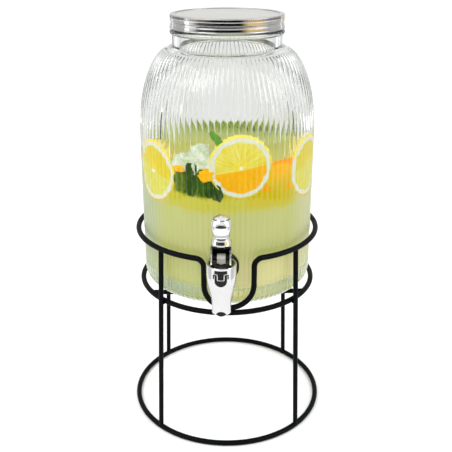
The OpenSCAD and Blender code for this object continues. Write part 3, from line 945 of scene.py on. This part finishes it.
def make_bar_line(name, corners, half, low, high, look):
    """A flat raised line along corners of (x, distance below the rim) on the tap's front."""
    path = []
    for a, b in zip(corners, corners[1:]):
        path += [tuple(x + (y - x) * i / 8 for x, y in zip(a, b)) for i in range(8)]
    path.append(corners[-1])
    section = ((-1, low), (-1, high * 0.7), (-0.6, high), (0.6, high), (1, high * 0.7), (1, low))
    points = []
    for i, (x, down) in enumerate(path):
        before, after = path[max(0, i - 1)], path[min(len(path) - 1, i + 1)]
        along = Vector((after[0] - before[0], after[1] - before[1], 0)).normalized()
        for side, out in section:
            points.append(key_place(x - along.y * side * half, down + along.x * side * half, out))
    piece(name, points, closed_faces(len(path), len(section)), look, "jar", sharp=50)


def make_key_frame():
    """The moulded frame of the snap key: a chromed line, and black strips for the dark slots beside its stem:
    painted shade.
    """
    sunk = -0.3 * MM
    line = [(-7, 5.2), (-3.1, 5.3), (-3, 11), (3, 11), (3.1, 5.3), (7, 5.2)]
    line = [(x * MM, down * MM) for x, down in line]
    make_bar_line("key_frame", line, 0.32 * MM, sunk, 0.2 * MM, "chrome_plastic")
    # The slots are black strips laid on the surface: painted shade.
    for side, name in ((-1, "left"), (1, "right")):
        line = [(side * x * MM, down * MM) for x, down in ((4, 10.2), (4, 6.3), (6.6, 6.3), (6.6, 10.2))]
        make_bar_line("key_slot_shade_" + name, line, 0.55 * MM, sunk, 0.08 * MM, "black_plastic")


def make_notch_shade():
    """A black piece that fills the notch in the spout's front and stands out a little below: painted shade of
    the dark outlet.
    """
    half, steps = 4.5 * MM, 12
    outer_r, inner_r, arch_r = 7.6 * MM, 6.1 * MM, 4.7 * MM
    points = []
    for radius in (outer_r, inner_r):
        for on_arch in (False, True):
            for i in range(steps + 1):
                x = half * (2 * i / steps - 1)
                high = SPOUT_Z - 0.5 * MM + math.sqrt(arch_r ** 2 - x * x)
                low = SPOUT_Z - 1.3 * MM * (1 - (x / half) ** 2)
                points.append((x, TAP_Y - math.sqrt(radius ** 2 - x * x), high if on_arch else low))
    row = steps + 1
    strips = ((0, row), (row, 3 * row), (3 * row, 2 * row), (2 * row, 0))
    faces = [(a + i, a + i + 1, b + i + 1, b + i) for i in range(steps) for a, b in strips]
    faces += [(0, row, 3 * row, 2 * row), (steps, 2 * row + steps, 3 * row + steps, row + steps)]
    piece("notch_shade", points, faces, "black_plastic", "jar", sharp=50)


def make_spring():
    """The valve spring: a coil of wire through the CAD spring's height, with no body."""
    low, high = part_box("valve_spring")
    wire_r, sides, steps, rounds = 0.4 * MM, 8, 144, 6
    coil_r = high.x - wire_r
    rise = high.z - low.z - 2 * wire_r
    points = []
    for i in range(steps + 1):
        angle = 2 * math.pi * rounds * i / steps
        out = Vector((math.sin(angle), -math.cos(angle), 0))
        centre = Vector((0, TAP_Y, low.z + wire_r + rise * i / steps)) + coil_r * out
        for turn in circle(sides):
            points.append(centre + wire_r * (math.cos(turn) * out + math.sin(turn) * Vector((0, 0, 1))))
    faces = closed_faces(steps + 1, sides)
    spring = piece("closing_spring", points, faces, "steel", None, ["valve_spring"], 60)
    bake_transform(spring)


make_key_frame()
make_notch_shade()
make_spring()


# ---- Welds ----


def make_weld(name, centre, along, size, seed):
    """A small bead of weld metal under the coat, long in one direction."""
    turn = Vector((0, 0, 1)).rotation_difference(along)
    rings, sides = 10, 16
    points = []
    for way in ball(rings, sides, 0.03):
        grow = 1 + 0.15 * noise.noise(way * 2.5 + Vector((seed, 0, 0)))
        points.append(centre + turn @ (Vector(a * b for a, b in zip(way, size)) * grow))
    piece(name, points, closed_faces(rings + 1, sides), "wire_black", "stand", sharp=70)


def make_welds():
    """Weld beads above and below each place where a leg passes the shelf ring."""
    ring_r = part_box("shelf_ring")[1].x
    size = (1.3 * MM, 1.3 * MM, 2.4 * MM)
    for number, leg in enumerate(("front_left_leg", "front_right_leg", "rear_left_leg", "rear_right_leg")):
        top = middle(leg)
        angle = math.atan2(top.x, -top.y)
        touch = Vector((ring_r * math.sin(angle), -ring_r * math.cos(angle), SHELF_Z))
        along = Vector((math.cos(angle), math.sin(angle), 0))
        for level in (-1, 1):
            centre = touch + Vector((0, 0, level * 1.9 * MM))
            make_weld(f"weld_{leg}_{(level + 3) // 2}", centre, along, size, number + level)


make_welds()


# ---- Studio ----


def make_camera():
    """The photo's view, in perspective and with no shift."""
    camera = bpy.data.objects.new("camera", bpy.data.cameras.new("camera"))
    bpy.context.scene.collection.objects.link(camera)
    camera.location = (0.02838, -0.70653, 0.4975)
    camera.rotation_euler = (math.radians(67.604), 0, math.radians(2.394))
    camera.data.lens = 56.82
    bpy.context.scene.camera = camera


def area_light(name, place, target, size, power, height=None):
    """A light panel that faces a place, square when it is given no height."""
    light = bpy.data.lights.new(name, "AREA")
    light.shape = "RECTANGLE"
    light.size = size
    light.size_y = height or size
    light.energy = power
    made = bpy.data.objects.new(name, light)
    bpy.context.scene.collection.objects.link(made)
    made.location = place
    made.rotation_euler = (Vector(target) - Vector(place)).to_track_quat("-Z", "Y").to_euler()
    return made


def make_card(name, rows, turns, shade_at, transmission=False):
    """A card of rings of (radius, height) about the jar, seen only by shiny things and,
    if wanted, through glass. shade_at gives its colour at a turn from the front, in a row."""
    mesh = bpy.data.meshes.new(name)
    points = lathe(rows, [math.radians(t) for t in turns])
    mesh.from_pydata(points, [], grid_faces(len(rows), len(turns), False))
    colour_points(mesh, "shade", [(*shade_at(t, row), 1) for row in range(len(rows)) for t in turns])
    s = Shader(name)
    colour = s.node("Attribute", attribute_name="shade").outputs["Color"]
    s.put(s.output.inputs["Surface"], s.node("Emission", {"Color": colour, "Strength": 1.0}))
    mesh.materials.append(s.material)
    card = bpy.data.objects.new(name, mesh)
    bpy.context.scene.collection.objects.link(card)
    card.visible_camera = False
    card.visible_diffuse = False
    card.visible_transmission = transmission
    card.visible_shadow = False


def make_cards():
    """What shiny things reflect: in front a band that is dark, with gold at its right and pale
    ends, a dark strip on the table, and a pale shell behind."""
    gold = (Vector((1.0, 0.55, 0.16)), Vector((2.1, 1.7, 0.85)))
    dark, dusk, pale = Vector((0.015, 0.015, 0.017)), Vector((0.16, 0.16, 0.16)), Vector((0.8, 0.8, 0.8))

    def front(t, row):
        shade = (pale * 1.6).lerp(dusk, smooth((t + 74) / 24))
        shade = shade.lerp(dark, smooth((t + 48) / 36))
        shade = shade.lerp(gold[row], smooth((t - 26) / 22))
        return shade.lerp(pale, smooth((t - 64) / 26))

    table = 0.004
    make_card("front_card", ((0.78, 0.29), (0.78, 0.385)), spaced(-76, 96, 86), front)
    make_card("low_card", ((0.8, table), (1.7, table)), spaced(-55, 55, 22), lambda t, row: dark)
    shell = ((0.4, table), (1.0, table), (1.7, table), (1.7, 0.8), (1.7, 1.6))
    make_card("back_card", shell, spaced(62, 298, 59), lambda t, row: pale * 1.08, True)


def make_studio():
    """A white room: an even white sky, soft lights, a white table and the cards."""
    world = bpy.data.worlds.new("studio")
    bpy.context.scene.world = world
    world.use_nodes = True
    background = world.node_tree.nodes["Background"]
    background.inputs["Color"].default_value = (1, 1, 1, 1)
    background.inputs["Strength"].default_value = 1.12
    area_light("key", (-0.9, -0.9, 1.5), (0, 0, 0.25), 0.9, 12)
    area_light("fill", (1.1, -0.5, 1.1), (0, 0, 0.25), 0.8, 5)
    for name, place, size, power in (("back_left", (-0.95, 1.05, 0.5), 0.14, 0.5),
                                     ("back_right", (0.95, 1.05, 0.5), 0.14, 0.5),
                                     ("side_left", (-1.3, -0.35, 0.55), 0.7, 4.5),
                                     ("side_right", (1.3, -0.35, 0.55), 0.7, 4.5)):
        strip = area_light(name, place, (0, 0, 0.3), size, power, 1.1)
        strip.visible_diffuse = False
    floor = bpy.data.meshes.new("floor")
    floor.from_pydata([(-9, -1.6, 0), (9, -1.6, 0), (9, 9, 0), (-9, 9, 0)], [], [(0, 1, 2, 3)])
    s = Shader("floor")
    s.surface(Base_Color=(0.98, 0.98, 0.98, 1), Roughness=0.9)
    floor.materials.append(s.material)
    made = bpy.data.objects.new("floor", floor)
    bpy.context.scene.collection.objects.link(made)
    make_cards()
    bpy.context.scene.view_settings.view_transform = "Standard"


make_camera()
make_studio()
